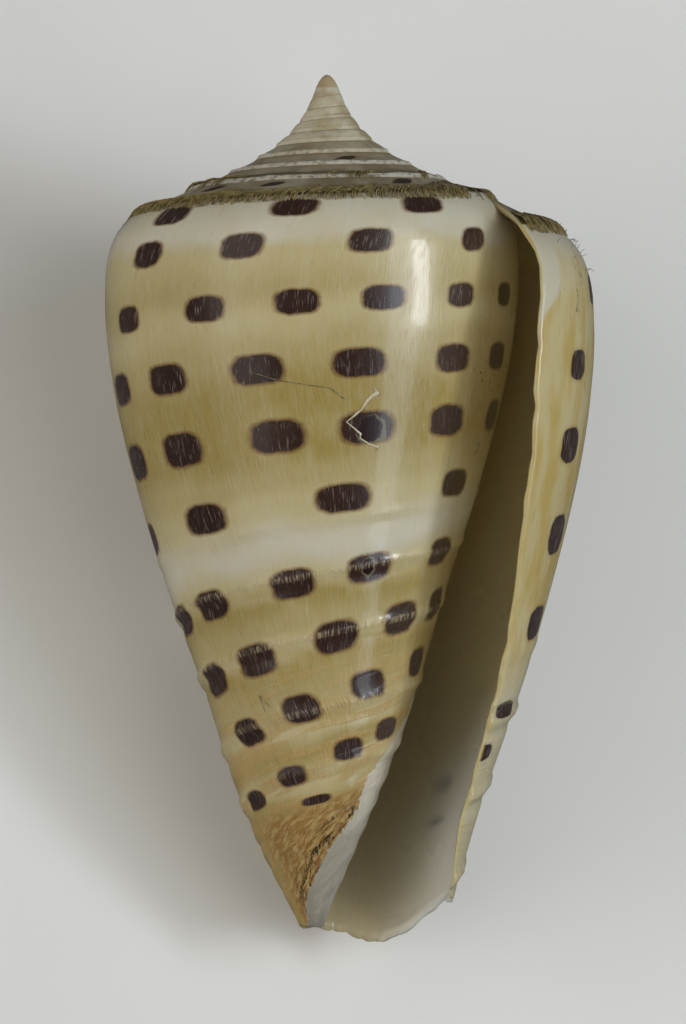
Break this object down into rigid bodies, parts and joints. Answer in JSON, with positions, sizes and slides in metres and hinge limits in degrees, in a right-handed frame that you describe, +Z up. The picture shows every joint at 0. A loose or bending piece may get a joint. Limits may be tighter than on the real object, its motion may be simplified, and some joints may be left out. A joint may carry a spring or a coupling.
{
  "type": "cone seashell",
  "caption": "Small cone shell: low stepped spire, round shoulder, tapering spotted body with spiral ridges at its base and a narrow aperture, lying on its back.",
  "frame": {"origin": "on the resting surface, under the centre of the shell's box", "axes": "+Y along the shell from its base to its apex, +Z up, where the aperture faces; the shell's axis rises 13 degrees towards the apex"},
  "size_m": [0.0168, 0.029, 0.0161],
  "materials": {
    "shell": "satin"
  },
  "bodies": {
    "root": {"cone_shell": "shell"}
  },
  "joints": []
}
